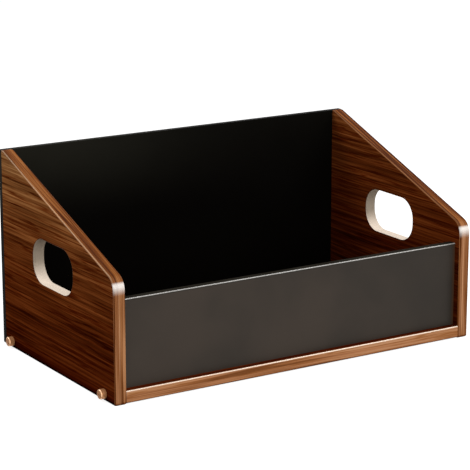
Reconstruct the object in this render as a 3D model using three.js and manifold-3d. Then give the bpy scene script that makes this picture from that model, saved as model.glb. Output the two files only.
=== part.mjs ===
// A flat-pack storage stand: an open bin of laminated boards with sloping sides, a hand hole in each side,
// a set-back front panel and a screwed-on back panel. Millimetres, +Z up, the front faces -Y and the origin
// lies on the floor under the middle of the stand.
import * as THREE from 'three';
import { mergeVertices } from 'three/addons/utils/BufferGeometryUtils.js';
import Module from 'manifold-3d';

const wasm = await Module();
wasm.setup();

// ---------------------------------------------------------------------------------------------------------
// Driving dimensions
// ---------------------------------------------------------------------------------------------------------

// The stand as a whole
const standWidth = 550; // over the outer faces of the side panels
const standHeight = 268; // floor to the top rear corner
const sideDepth = 305; // front edge to rear edge of a side panel
const boardThickness = 16; // side panels and base board

// Side panel outline
const frontCornerHeight = 160; // floor to where the front edge and the slope would meet in a sharp corner
const frontCornerRadius = 20;
const topFlat = 4; // level stretch behind the slope

// Edge bands
const edgeBandThickness = 2;
const edgeBandRounding = 1.5; // radius on the bands' two outer arrises
const glueLine = 0.1; // between a band or an edging and its board

// Hand holes, measured on the clear opening inside the edging
const handHoleLength = 111;
const handHoleHeight = 61;
const handHoleRadius = 27.5;
const handHoleSetback = 107; // from the side panel's front edge
const handHoleRise = 109; // from the side panel's bottom edge
const handHoleEdgingThickness = 0.5;

// Front panel
const frontPanelThickness = 12;
const frontPanelHeight = 115; // over the base board, top band included
const frontPanelSetback = 11; // from the side panels' front edges

// Back panel
const backPanelThickness = 9;
const backPanelRounding = 0.8; // radius on the arrises of its two faces

// Foot strips
const footThickness = 1;
const footSideMargin = 0.5; // from the side panel's faces
const footEndMargin = 1; // from the side panel's front and rear edges
const footCornerRadius = 2;

// Knock-down bolts and barrel nuts, which clamp the side panels to the base board
const boltHeadRadius = 6.5;
const boltHeadHeight = 8;
const boltHeadRounding = 1.2;
const boltShankRadius = 3;
const boltPointChamfer = 0.8;
const boltPointBeyondNut = 3;
const boltSlotWidth = 1.8;
const boltSlotDepth = 1.6;
const boltSlotTilt = 22; // degrees from level, with the rear end up on the left side panel
const boltSetbackFront = 28; // from the side panel's front edge
const boltSetbackRear = 19; // from the side panel's rear edge
const boltClearance = 0.3; // round the shank
const barrelNutRadius = 5;
const barrelNutHeight = 12;
const barrelNutChamfer = 0.6;
const barrelNutInset = 26; // nut axis from the base board's end
const barrelNutClearance = 0.3;
const barrelNutSlotWidth = 1.4;
const barrelNutSlotDepth = 1.2;

// Fluted dowels at the base board's ends
const baseDowelRadius = 4;
const baseDowelInSide = 10;
const baseDowelInBase = 20;
const baseDowelSetbackFront = 100;
const baseDowelSetbackRear = 91;

// Fluted dowels at the front panel's ends
const frontDowelRadius = 3;
const frontDowelInSide = 9;
const frontDowelInPanel = 16;
const frontDowelRiseLow = 25; // from the front panel's bottom edge
const frontDowelRiseHigh = 88;

// Dowel form
const fluteCount = 12;
const fluteDepth = 0.35;
const dowelChamfer = 0.8;
const dowelSideClearance = 0.15;
const dowelEndClearance = 0.5;

// Countersunk screws: back panel into the boards, and base board into the front panel
const backScrewGrip = 19; // length in the board behind the panel
const backScrewShankRadius = 1.75;
const backScrewHeadRadius = 3.5;
const backScrewEndInset = 28; // highest and lowest screw from the panel's ends
const backScrewBaseInset = 89; // outer screws from the base board's ends
const frontScrewGrip = 24;
const frontScrewShankRadius = 2;
const frontScrewHeadRadius = 4;
const frontScrewInset = 79; // outer screws from the base board's ends
const screwPointLength = 4;
const screwClearance = 0.15;
const screwEndClearance = 1;
const recessWidth = 0.9;
const recessReach = 0.55; // share of the head's radius
const recessDepth = 1.1;

// Fineness of the round forms
const arcSteps = 6; // two segments to a step in each arc
const boltSides = 28;
const boreSides = 20;
const screwSides = 16;
const roundingSteps = 4; // bolt heads and foot strips
const bandRoundingSteps = 3;
const overrun = 1; // how far a cutting solid reaches past the face it cuts

// ---------------------------------------------------------------------------------------------------------
// Places that several pieces share
// ---------------------------------------------------------------------------------------------------------

const sides = [
  { name: 'left', sign: -1 },
  { name: 'right', sign: 1 },
];
const outerHalf = standWidth / 2;
const innerHalf = outerHalf - boardThickness;
const standDepth = sideDepth + backPanelThickness;
const sideHeight = standHeight - footThickness;
const bandSeat = edgeBandThickness + glueLine;
const midBoard = boardThickness / 2;
const frontPanelMiddle = frontPanelSetback + frontPanelThickness / 2;

const boltRows = [
  { name: 'front', y: boltSetbackFront },
  { name: 'rear', y: sideDepth - boltSetbackRear },
];
const boltShankLength = boardThickness + barrelNutInset + barrelNutRadius + boltPointBeyondNut;
const baseDowelRows = [
  { name: 'front', y: baseDowelSetbackFront },
  { name: 'rear', y: sideDepth - baseDowelSetbackRear },
];
const frontDowelRows = [
  { name: 'lower', z: frontDowelRiseLow },
  { name: 'upper', z: frontDowelRiseHigh },
];
const sideScrewRows = [
  { name: 'lower', z: backScrewEndInset },
  { name: 'middle', z: sideHeight / 2 },
  { name: 'upper', z: sideHeight - backScrewEndInset },
];
const screwColumns = [
  { name: 'left', place: -1 },
  { name: 'middle', place: 0 },
  { name: 'right', place: 1 },
];
const backScrewSpacing = innerHalf - backScrewBaseInset;
const frontScrewSpacing = innerHalf - frontScrewInset;

// ---------------------------------------------------------------------------------------------------------
// Solids
// ---------------------------------------------------------------------------------------------------------

function toSolid(geometry) {
  const bare = geometry.clone();
  bare.deleteAttribute('normal');
  bare.deleteAttribute('uv');
  const merged = mergeVertices(bare, 1e-5);
  return new wasm.Manifold(new wasm.Mesh({
    numProp: 3,
    vertProperties: new Float32Array(merged.attributes.position.array),
    triVerts: new Uint32Array(merged.index.array),
  }));
}

function toGeometry(solid) {
  const mesh = solid.getMesh();
  const geometry = new THREE.BufferGeometry();
  geometry.setAttribute('position', new THREE.BufferAttribute(new Float32Array(mesh.vertProperties), 3));
  geometry.setIndex(new THREE.BufferAttribute(new Uint32Array(mesh.triVerts), 1));
  geometry.computeVertexNormals();
  return geometry;
}

// A geometry with every cutter taken out of it.
function cutFrom(blank, cutters) {
  let solid = toSolid(blank);
  for (const cutter of cutters) {
    solid = solid.subtract(toSolid(cutter));
  }
  return toGeometry(solid);
}

// What two geometries have in common.
function common(first, second) {
  return toGeometry(toSolid(first).intersect(toSolid(second)));
}

// Turns a geometry built along +Y so that it points from one point towards another, and starts it there.
function aim(geometry, from, towards) {
  const start = new THREE.Vector3(...from);
  const direction = new THREE.Vector3(...towards).sub(start).normalize();
  geometry.applyQuaternion(new THREE.Quaternion().setFromUnitVectors(new THREE.Vector3(0, 1, 0), direction));
  return geometry.translate(start.x, start.y, start.z);
}

// A straight round bore between two points.
function bore(radius, from, to) {
  const length = new THREE.Vector3(...from).distanceTo(new THREE.Vector3(...to));
  const rod = new THREE.CylinderGeometry(radius, radius, length, boreSides);
  rod.translate(0, length / 2, 0);
  return aim(rod, from, to);
}

// A board or strip whose outline lies in the Y-Z plane (x of the shape is Y, y is Z), extruded along X from
// 0. Its two end faces may have rounded arrises.
function extrudeAcross(shape, length, curveSegments = arcSteps, rounding = 0) {
  const geometry = new THREE.ExtrudeGeometry(shape, {
    depth: length - 2 * rounding,
    bevelEnabled: rounding > 0,
    bevelThickness: rounding,
    bevelSize: rounding,
    bevelOffset: -rounding,
    bevelSegments: bandRoundingSteps,
    curveSegments,
  });
  geometry.translate(0, 0, rounding);
  const across = new THREE.Matrix4().makeBasis(
    new THREE.Vector3(0, 1, 0),
    new THREE.Vector3(0, 0, 1),
    new THREE.Vector3(1, 0, 0),
  );
  return geometry.applyMatrix4(across);
}

function rectangle(width, height) {
  const shape = new THREE.Shape();
  shape.moveTo(0, 0);
  shape.lineTo(width, 0);
  shape.lineTo(width, height);
  shape.lineTo(0, height);
  shape.closePath();
  return shape;
}

// Traces a rectangle with round corners about a centre, on a Shape or a Path. The arcs' ends are joined by
// straight lines.
function traceRounded(path, centreX, centreY, halfLength, halfHeight, radius) {
  const right = centreX + halfLength - radius;
  const left = centreX - halfLength + radius;
  const top = centreY + halfHeight - radius;
  const bottom = centreY - halfHeight + radius;
  path.absarc(right, bottom, radius, -Math.PI / 2, 0, false);
  path.absarc(right, top, radius, 0, Math.PI / 2, false);
  path.absarc(left, top, radius, Math.PI / 2, Math.PI, false);
  path.absarc(left, bottom, radius, Math.PI, 1.5 * Math.PI, false);
  return path;
}

// A strip profile in the Y-Z plane with its two outer arrises rounded. The outer side faces +Z or -Y.
function bandProfile(breadth, thickness, outerSide) {
  const r = edgeBandRounding;
  const shape = new THREE.Shape();
  if (outerSide === 'up') {
    shape.moveTo(0, 0);
    shape.lineTo(breadth, 0);
    shape.absarc(breadth - r, thickness - r, r, 0, Math.PI / 2, false);
    shape.absarc(r, thickness - r, r, Math.PI / 2, Math.PI, false);
  } else {
    shape.moveTo(thickness, 0);
    shape.lineTo(thickness, breadth);
    shape.absarc(r, breadth - r, r, Math.PI / 2, Math.PI, false);
    shape.absarc(r, r, r, Math.PI, 1.5 * Math.PI, false);
  }
  shape.closePath();
  return shape;
}

// ---------------------------------------------------------------------------------------------------------
// Side panels
// ---------------------------------------------------------------------------------------------------------

// The slope and the round corner of the side outline. Every inset outline has the same corner centre.
const cornerRise = frontCornerHeight - footThickness;
const slopeAngle = Math.atan2(sideHeight - cornerRise, sideDepth - topFlat);
const cornerCentreY = frontCornerRadius;
const cornerCentreZ = cornerRise + frontCornerRadius * (Math.tan(slopeAngle) - 1 / Math.cos(slopeAngle));
const slopeNormalAngle = Math.PI / 2 + slopeAngle;

// Where the slope, moved in by an inset, meets the level stretch, moved in by as much.
function slopeTop(inset) {
  const radius = frontCornerRadius - inset;
  const startY = cornerCentreY - radius * Math.sin(slopeAngle);
  const startZ = cornerCentreZ + radius * Math.cos(slopeAngle);
  const run = (sideHeight - inset - startZ) / Math.sin(slopeAngle);
  return [startY + run * Math.cos(slopeAngle), sideHeight - inset];
}

// The side outline with its front edge, round corner, slope and level stretch moved in by an inset, and its
// bottom and rear edges moved out by an overhang.
function sideOutline(inset, overhang) {
  const rear = sideDepth + overhang;
  const shape = new THREE.Shape();
  shape.moveTo(rear, -overhang);
  shape.lineTo(inset, -overhang);
  shape.absarc(cornerCentreY, cornerCentreZ, frontCornerRadius - inset, Math.PI, slopeNormalAngle, true);
  shape.lineTo(...slopeTop(inset));
  shape.lineTo(rear, sideHeight - inset);
  shape.closePath();
  return shape;
}

function traceHandHole(path, margin) {
  return traceRounded(
    path,
    handHoleSetback + handHoleLength / 2,
    handHoleRise + handHoleHeight / 2,
    handHoleLength / 2 + margin,
    handHoleHeight / 2 + margin,
    handHoleRadius + margin,
  );
}

// Local frame of everything on a side panel: x = 0 on the inner face, y = 0 at the front edge, z = 0 at the
// bottom edge. The sign is the way to the outer face.
function onSide(geometry, sign) {
  return geometry.translate(sign < 0 ? -boardThickness : 0, 0, 0);
}

function sidePanel(sign) {
  const outline = sideOutline(bandSeat, 0);
  outline.holes.push(traceHandHole(new THREE.Path(), handHoleEdgingThickness + glueLine));
  const blank = onSide(extrudeAcross(outline, boardThickness), sign);
  const cutters = [];
  for (const row of boltRows) {
    cutters.push(bore(
      boltShankRadius + boltClearance,
      [-sign * overrun, row.y, midBoard],
      [sign * (boardThickness + overrun), row.y, midBoard],
    ));
  }
  for (const row of baseDowelRows) {
    cutters.push(bore(
      baseDowelRadius + dowelSideClearance,
      [-sign * overrun, row.y, midBoard],
      [sign * (baseDowelInSide + dowelEndClearance), row.y, midBoard],
    ));
  }
  for (const row of frontDowelRows) {
    cutters.push(bore(
      frontDowelRadius + dowelSideClearance,
      [-sign * overrun, frontPanelMiddle, boardThickness + row.z],
      [sign * (frontDowelInSide + dowelEndClearance), frontPanelMiddle, boardThickness + row.z],
    ));
  }
  for (const row of sideScrewRows) {
    cutters.push(bore(
      backScrewShankRadius + screwClearance,
      [sign * midBoard, sideDepth + overrun, row.z],
      [sign * midBoard, sideDepth - backScrewGrip - screwEndClearance, row.z],
    ));
  }
  return cutFrom(blank, cutters);
}

// One strip bent over the front edge, the round corner, the slope and the level stretch. It is what is left
// of a full panel with rounded arrises once its core is taken out and its bottom and rear are trimmed square.
function sideEdgeBand(sign) {
  const overhang = edgeBandRounding + overrun;
  const full = extrudeAcross(sideOutline(0, overhang), boardThickness, arcSteps, edgeBandRounding);
  const coreOutline = sideOutline(edgeBandThickness, overhang + overrun);
  const core = extrudeAcross(coreOutline, boardThickness + 2 * overrun).translate(-overrun, 0, 0);
  const trim = extrudeAcross(rectangle(sideDepth, sideHeight), boardThickness);
  return onSide(common(cutFrom(full, [core]), trim), sign);
}

function handHoleEdging(sign) {
  const ring = traceHandHole(new THREE.Shape(), handHoleEdgingThickness);
  ring.holes.push(traceHandHole(new THREE.Path(), 0));
  return onSide(extrudeAcross(ring, boardThickness), sign);
}

// A thin strip with round corners under a side panel, its top at z = 0.
function footStrip() {
  const shape = traceRounded(
    new THREE.Shape(),
    0,
    sideDepth / 2,
    boardThickness / 2 - footSideMargin,
    sideDepth / 2 - footEndMargin,
    footCornerRadius,
  );
  const strip = new THREE.ExtrudeGeometry(shape, {
    depth: footThickness,
    bevelEnabled: false,
    curveSegments: roundingSteps,
  });
  return strip.translate(0, 0, -footThickness);
}

// ---------------------------------------------------------------------------------------------------------
// Base board, front panel and back panel
// ---------------------------------------------------------------------------------------------------------

function baseBoard() {
  const blank = extrudeAcross(rectangle(sideDepth - bandSeat, boardThickness), 2 * innerHalf);
  blank.translate(-innerHalf, bandSeat, 0);
  const cutters = [];
  for (const { sign } of sides) {
    const end = sign * (innerHalf + overrun);
    for (const row of boltRows) {
      const nutX = sign * (innerHalf - barrelNutInset);
      const boreEnd = sign * (outerHalf - boltShankLength - screwEndClearance);
      const nutTop = midBoard + barrelNutHeight / 2 + barrelNutClearance;
      const nutRadius = barrelNutRadius + barrelNutClearance;
      cutters.push(bore(boltShankRadius + boltClearance, [end, row.y, midBoard], [boreEnd, row.y, midBoard]));
      cutters.push(bore(nutRadius, [nutX, row.y, -overrun], [nutX, row.y, nutTop]));
    }
    for (const row of baseDowelRows) {
      const boreEnd = sign * (innerHalf - baseDowelInBase - dowelEndClearance);
      const dowelRadius = baseDowelRadius + dowelSideClearance;
      cutters.push(bore(dowelRadius, [end, row.y, midBoard], [boreEnd, row.y, midBoard]));
    }
  }
  for (const column of screwColumns) {
    const rearX = column.place * backScrewSpacing;
    const frontX = column.place * frontScrewSpacing;
    cutters.push(bore(
      backScrewShankRadius + screwClearance,
      [rearX, sideDepth + overrun, midBoard],
      [rearX, sideDepth - backScrewGrip - screwEndClearance, midBoard],
    ));
    cutters.push(countersunkBore(
      frontScrewShankRadius,
      frontScrewHeadRadius,
      boardThickness,
      [frontX, frontPanelMiddle, 0],
      [frontX, frontPanelMiddle, -1],
    ));
  }
  return cutFrom(blank, cutters);
}

function baseEdgeBand() {
  const profile = bandProfile(boardThickness, edgeBandThickness, 'front');
  const band = extrudeAcross(profile, 2 * innerHalf, bandRoundingSteps);
  return band.translate(-innerHalf, 0, 0);
}

function frontPanel() {
  const height = frontPanelHeight - bandSeat;
  const blank = extrudeAcross(rectangle(frontPanelThickness, height), 2 * innerHalf);
  blank.translate(-innerHalf, 0, 0);
  const middle = frontPanelThickness / 2;
  const cutters = [];
  for (const { sign } of sides) {
    for (const row of frontDowelRows) {
      cutters.push(bore(
        frontDowelRadius + dowelSideClearance,
        [sign * (innerHalf + overrun), middle, row.z],
        [sign * (innerHalf - frontDowelInPanel - dowelEndClearance), middle, row.z],
      ));
    }
  }
  for (const column of screwColumns) {
    const x = column.place * frontScrewSpacing;
    cutters.push(bore(
      frontScrewShankRadius + screwClearance,
      [x, middle, -overrun],
      [x, middle, frontScrewGrip + screwEndClearance],
    ));
  }
  return cutFrom(blank, cutters);
}

function frontPanelTopBand() {
  const profile = bandProfile(frontPanelThickness, edgeBandThickness, 'up');
  const band = extrudeAcross(profile, 2 * innerHalf, bandRoundingSteps);
  return band.translate(-innerHalf, 0, 0);
}

function backPanel() {
  const blank = new THREE.ExtrudeGeometry(rectangle(standWidth, sideHeight), {
    depth: backPanelThickness - 2 * backPanelRounding,
    bevelEnabled: true,
    bevelThickness: backPanelRounding,
    bevelSize: backPanelRounding,
    bevelOffset: -backPanelRounding,
    bevelSegments: bandRoundingSteps,
  });
  blank.rotateX(Math.PI / 2);
  blank.translate(-outerHalf, backPanelThickness - backPanelRounding, 0);
  const heads = [];
  for (const { sign } of sides) {
    for (const row of sideScrewRows) {
      heads.push([sign * (innerHalf + midBoard), row.z]);
    }
  }
  for (const column of screwColumns) {
    heads.push([column.place * backScrewSpacing, midBoard]);
  }
  const cutters = heads.map(([x, z]) => countersunkBore(
    backScrewShankRadius,
    backScrewHeadRadius,
    backPanelThickness,
    [x, backPanelThickness, z],
    [x, backPanelThickness + 1, z],
  ));
  return cutFrom(blank, cutters);
}

// ---------------------------------------------------------------------------------------------------------
// Fasteners, each built along +Y, with the head's outer end towards +Y
// ---------------------------------------------------------------------------------------------------------

function revolve(profile, sideCount) {
  return new THREE.LatheGeometry(profile.map(([r, y]) => new THREE.Vector2(r, y)), sideCount);
}

// Slotted bolt with a tall round head. The head's underside is at y = 0.
function slottedBolt() {
  const profile = [
    [0, -boltShankLength],
    [boltShankRadius - boltPointChamfer, -boltShankLength],
    [boltShankRadius, boltPointChamfer - boltShankLength],
    [boltShankRadius, 0],
    [boltHeadRadius, 0],
  ];
  for (let step = 0; step <= roundingSteps; step += 1) {
    const angle = (Math.PI / 2) * (step / roundingSteps);
    profile.push([
      boltHeadRadius - boltHeadRounding * (1 - Math.cos(angle)),
      boltHeadHeight - boltHeadRounding * (1 - Math.sin(angle)),
    ]);
  }
  profile.push([0, boltHeadHeight]);
  const slot = new THREE.BoxGeometry(2 * (boltHeadRadius + overrun), 2 * boltSlotDepth, boltSlotWidth);
  slot.translate(0, boltHeadHeight, 0);
  slot.rotateY(THREE.MathUtils.degToRad(-boltSlotTilt));
  return cutFrom(revolve(profile, boltSides), [slot]);
}

// Cylinder standing on its end with a cross bore for the bolt and a slot to turn it by, centred on the bore.
function barrelNut() {
  const half = barrelNutHeight / 2;
  const blank = revolve([
    [0, -half],
    [barrelNutRadius - barrelNutChamfer, -half],
    [barrelNutRadius, barrelNutChamfer - half],
    [barrelNutRadius, half - barrelNutChamfer],
    [barrelNutRadius - barrelNutChamfer, half],
    [0, half],
  ], boreSides);
  const reach = barrelNutRadius + overrun;
  const crossBore = bore(boltShankRadius + boltClearance, [-reach, 0, 0], [reach, 0, 0]);
  const slot = new THREE.BoxGeometry(2 * reach, 2 * barrelNutSlotDepth, barrelNutSlotWidth);
  slot.translate(0, half, 0);
  return cutFrom(blank, [crossBore, slot]);
}

// Countersunk wood screw with a cross recess. The head's flat top is at y = 0.
function countersunkScrew(shankRadius, headRadius, length) {
  const shank = revolve([
    [0, -length],
    [shankRadius, screwPointLength - length],
    [shankRadius, shankRadius - headRadius],
    [headRadius, 0],
    [0, 0],
  ], screwSides);
  const reach = 2 * recessReach * headRadius;
  const bars = [
    new THREE.BoxGeometry(reach, 2 * recessDepth, recessWidth),
    new THREE.BoxGeometry(recessWidth, 2 * recessDepth, reach),
  ];
  return cutFrom(shank, bars);
}

// The hole that a countersunk screw passes through, from its head's face into a board of a given thickness.
function countersunkBore(shankRadius, headRadius, boardDepth, face, outside) {
  const shank = shankRadius + screwClearance;
  const head = headRadius + screwClearance;
  const hole = revolve([
    [0, -boardDepth - overrun],
    [shank, -boardDepth - overrun],
    [shank, shank - head],
    [head, 0],
    [head, overrun],
    [0, overrun],
  ], boreSides);
  return aim(hole, face, outside);
}

// Dowel with lengthwise flutes for the glue and a chamfer at each end, centred on its middle.
function flutedDowel(radius, length) {
  const half = length / 2;
  const rings = [
    [-half, -dowelChamfer],
    [dowelChamfer - half, 0],
    [half - dowelChamfer, 0],
    [half, -dowelChamfer],
  ];
  const pointsPerRing = 2 * fluteCount;
  const positions = [];
  for (const [y, growth] of rings) {
    for (let point = 0; point < pointsPerRing; point += 1) {
      const angle = (2 * Math.PI * point) / pointsPerRing;
      const reach = radius + growth - (point % 2) * fluteDepth;
      positions.push(reach * Math.cos(angle), y, -reach * Math.sin(angle));
    }
  }
  const bottomCentre = positions.length / 3;
  positions.push(0, -half, 0, 0, half, 0);
  const topCentre = bottomCentre + 1;
  const triangles = [];
  const lastRing = (rings.length - 1) * pointsPerRing;
  for (let point = 0; point < pointsPerRing; point += 1) {
    const next = (point + 1) % pointsPerRing;
    triangles.push(bottomCentre, next, point, topCentre, lastRing + point, lastRing + next);
    for (let start = 0; start < lastRing; start += pointsPerRing) {
      const above = start + pointsPerRing;
      triangles.push(start + point, start + next, above + next, start + point, above + next, above + point);
    }
  }
  const geometry = new THREE.BufferGeometry();
  geometry.setAttribute('position', new THREE.Float32BufferAttribute(positions, 3));
  geometry.setIndex(triangles);
  geometry.computeVertexNormals();
  return geometry;
}

// ---------------------------------------------------------------------------------------------------------
// Finishes
// ---------------------------------------------------------------------------------------------------------

function finish(color, roughness, metalness = 0) {
  return new THREE.MeshStandardMaterial({ color, roughness, metalness });
}

const walnutLaminate = () => finish('#5a3018', 0.42);
const walnutBand = () => finish('#9a6d47', 0.38);
const blackLaminate = () => finish('#34322f', 0.5);
const paleEdging = () => finish('#d9cdbd', 0.55);
const copperTone = () => finish('#b07a52', 0.35, 0.9);
const zincPlate = () => finish('#a9abad', 0.4, 0.9);
const blackSteel = () => finish('#2b2b2b', 0.45, 0.8);
const beech = () => finish('#c9a67a', 0.8);
const blackRubber = () => finish('#161514', 0.9);

// ---------------------------------------------------------------------------------------------------------
// Assembly. Inside the groups y = 0 is the side panels' front edge.
// ---------------------------------------------------------------------------------------------------------

function piece(name, geometry, material, position, rotation = [0, 0, 0]) {
  const mesh = new THREE.Mesh(geometry, material);
  mesh.name = name;
  mesh.position.set(...position);
  mesh.rotation.set(...rotation);
  return mesh;
}

// A side panel with its band, edging, foot strip, bolts and dowels.
function sideGroup({ name, sign }) {
  const group = new THREE.Group();
  const quarterTurn = (-sign * Math.PI) / 2;
  group.add(
    piece(`${name}_side_panel`, sidePanel(sign), walnutLaminate(), [0, 0, 0]),
    piece(`${name}_edge_band`, sideEdgeBand(sign), walnutBand(), [0, 0, 0]),
    piece(`${name}_hand_hole_edging`, handHoleEdging(sign), paleEdging(), [0, 0, 0]),
    piece(`${name}_foot_strip`, footStrip(), blackRubber(), [sign * midBoard, 0, 0]),
  );
  for (const row of boltRows) {
    const nutX = -sign * barrelNutInset;
    group.add(
      piece(
        `${name}_${row.name}_bolt`,
        slottedBolt(),
        copperTone(),
        [sign * boardThickness, row.y, midBoard],
        [0, 0, quarterTurn],
      ),
      piece(
        `${name}_${row.name}_barrel_nut`,
        barrelNut(),
        zincPlate(),
        [nutX, row.y, midBoard],
        [-Math.PI / 2, 0, 0],
      ),
    );
  }
  for (const row of baseDowelRows) {
    const middle = (sign * (baseDowelInSide - baseDowelInBase)) / 2;
    group.add(piece(
      `${name}_${row.name}_base_dowel`,
      flutedDowel(baseDowelRadius, baseDowelInSide + baseDowelInBase),
      beech(),
      [middle, row.y, midBoard],
      [0, 0, quarterTurn],
    ));
  }
  for (const row of frontDowelRows) {
    const middle = (sign * (frontDowelInSide - frontDowelInPanel)) / 2;
    group.add(piece(
      `${name}_${row.name}_front_panel_dowel`,
      flutedDowel(frontDowelRadius, frontDowelInSide + frontDowelInPanel),
      beech(),
      [middle, frontPanelMiddle, boardThickness + row.z],
      [0, 0, quarterTurn],
    ));
  }
  group.position.set(sign * innerHalf, 0, 0);
  return group;
}

// The base board with its band and the front panel that stands on it.
function baseGroup() {
  const group = new THREE.Group();
  group.add(
    piece('base_board', baseBoard(), walnutLaminate(), [0, 0, 0]),
    piece('base_edge_band', baseEdgeBand(), walnutBand(), [0, 0, 0]),
    piece('front_panel', frontPanel(), blackLaminate(), [0, frontPanelSetback, boardThickness]),
    piece(
      'front_panel_top_band',
      frontPanelTopBand(),
      blackLaminate(),
      [0, frontPanelSetback, boardThickness + frontPanelHeight - edgeBandThickness],
    ),
  );
  for (const column of screwColumns) {
    group.add(piece(
      `front_panel_${column.name}_screw`,
      countersunkScrew(frontScrewShankRadius, frontScrewHeadRadius, boardThickness + frontScrewGrip),
      zincPlate(),
      [column.place * frontScrewSpacing, frontPanelMiddle, 0],
      [-Math.PI / 2, 0, 0],
    ));
  }
  return group;
}

// The back panel with its screws, flush in its rear face.
function backGroup() {
  const group = new THREE.Group();
  const backScrew = () => (
    countersunkScrew(backScrewShankRadius, backScrewHeadRadius, backPanelThickness + backScrewGrip)
  );
  group.add(piece('back_panel', backPanel(), blackLaminate(), [0, 0, 0]));
  for (const { name, sign } of sides) {
    for (const row of sideScrewRows) {
      const place = [sign * (innerHalf + midBoard), backPanelThickness, row.z];
      group.add(piece(`back_panel_${name}_${row.name}_screw`, backScrew(), blackSteel(), place));
    }
  }
  for (const column of screwColumns) {
    const place = [column.place * backScrewSpacing, backPanelThickness, midBoard];
    group.add(piece(`back_panel_base_${column.name}_screw`, backScrew(), blackSteel(), place));
  }
  group.position.set(0, sideDepth, 0);
  return group;
}

const stand = new THREE.Group();
const carcass = new THREE.Group();
carcass.add(...sides.map(sideGroup), baseGroup(), backGroup());
carcass.position.set(0, -standDepth / 2, footThickness);
stand.add(carcass);

export default stand;
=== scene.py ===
"""Finish, light and camera of a flat-pack storage stand with sloping wood-grained side panels.

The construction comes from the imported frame, in metres: X is the width, the front faces -Y and Z is up.
The boards, barrel nuts and dowels keep their own solids and get their finish here. The edge bands, hand-hole
edgings, foot strips, bolts and screws are modelled again with the fine roundings that catch the light.
"""
import logging
import math
from dataclasses import dataclass
from enum import Enum
from typing import Sequence

import bmesh
import bpy
from mathutils import Matrix, Vector


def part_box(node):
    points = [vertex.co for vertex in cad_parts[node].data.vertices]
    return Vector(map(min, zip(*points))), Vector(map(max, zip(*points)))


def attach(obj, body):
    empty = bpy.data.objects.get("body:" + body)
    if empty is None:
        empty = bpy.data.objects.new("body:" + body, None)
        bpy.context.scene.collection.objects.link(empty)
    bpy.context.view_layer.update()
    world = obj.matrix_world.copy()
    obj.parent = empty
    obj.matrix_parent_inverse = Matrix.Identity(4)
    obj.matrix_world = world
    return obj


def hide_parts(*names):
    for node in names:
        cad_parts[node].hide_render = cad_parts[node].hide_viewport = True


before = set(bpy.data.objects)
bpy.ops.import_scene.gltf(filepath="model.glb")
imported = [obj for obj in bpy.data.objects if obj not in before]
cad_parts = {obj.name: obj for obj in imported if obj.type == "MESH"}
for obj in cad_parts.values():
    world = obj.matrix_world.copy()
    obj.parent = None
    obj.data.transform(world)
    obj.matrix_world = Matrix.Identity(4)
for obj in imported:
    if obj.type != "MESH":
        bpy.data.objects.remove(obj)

LOG = logging.getLogger("storage_stand")
BODY = "root"
MM = 0.001
WHITE = (1.0, 1.0, 1.0, 1.0)

# What a piece's mesh tells its finish. RUN is a point's place on a band, with the run along it as the second
# number. MARKS are three amounts each finish reads in its own way, such as painted highlight, gloss and
# painted shade.
RUN = "band_run"
MARKS = "band_marks"
NO_MARKS = (0.0, 0.0, 0.0)

Pair = tuple[float, float]
Point = tuple[float, float, float]
Colour = tuple[float, float, float]
Materials = dict[str, bpy.types.Material]


class Grain(Enum):
    """Which way the grain of a board or a band runs."""

    ALONG_X = "x"
    ALONG_Y = "y"
    ALONG_BAND = "band"


class Side(Enum):
    """The two side panels, with the sign of X on which each stands."""

    LEFT = -1
    RIGHT = 1

    @property
    def word(self) -> str:
        """The word that starts the names of this side's pieces."""
        return self.name.lower()


# ---- Shader expressions ------------------------------------------


class Signal:
    """A number on a shader socket. Arithmetic on it adds Math nodes to its graph."""

    def __init__(self, graph: "Graph", socket: bpy.types.NodeSocket) -> None:
        """Keeps the graph and the output socket that carries the number."""
        self.graph = graph
        self.socket = socket

    def _math(self, operation: str, first: "Signal | float", second: "Signal | float") -> "Signal":
        """Adds a Math node of the given operation and returns its result."""
        return self.graph.signal("ShaderNodeMath", {"operation": operation}, {0: first, 1: second})

    def __add__(self, other: "Signal | float") -> "Signal":
        """The sum."""
        return self._math("ADD", self, other)

    def __radd__(self, other: float) -> "Signal":
        """The sum, with a plain number on the left."""
        return self._math("ADD", other, self)

    def __sub__(self, other: "Signal | float") -> "Signal":
        """The difference."""
        return self._math("SUBTRACT", self, other)

    def __rsub__(self, other: float) -> "Signal":
        """The difference from a plain number."""
        return self._math("SUBTRACT", other, self)

    def __mul__(self, other: "Signal | float") -> "Signal":
        """The product."""
        return self._math("MULTIPLY", self, other)

    def __rmul__(self, other: float) -> "Signal":
        """The product, with a plain number on the left."""
        return self._math("MULTIPLY", other, self)

    def __pow__(self, other: "Signal | float") -> "Signal":
        """The power."""
        return self._math("POWER", self, other)

    def __rpow__(self, other: float) -> "Signal":
        """The power of a plain number."""
        return self._math("POWER", other, self)

    def size(self) -> "Signal":
        """The number without its sign."""
        return self._math("ABSOLUTE", self, 0.0)

    def larger(self, other: "Signal | float") -> "Signal":
        """The larger of two numbers."""
        return self._math("MAXIMUM", self, other)

    def blend(self, at_zero: float, at_one: float) -> "Signal":
        """The number that stands at the first value where this one is 0 and at the second where it is 1."""
        return at_zero + self * (at_one - at_zero)

    def between(self, low: float, high: float) -> "Signal":
        """How far the number has come from low to high, smoothly, from 0 to 1.

        Args:
            low: Where the result is 0.
            high: Where the result is 1.

        Returns:
            The smoothed share.
        """
        return self.graph.signal(
            "ShaderNodeMapRange",
            {"interpolation_type": "SMOOTHSTEP"},
            {"Value": self, "From Min": low, "From Max": high, "To Min": 0.0, "To Max": 1.0},
        )


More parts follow.
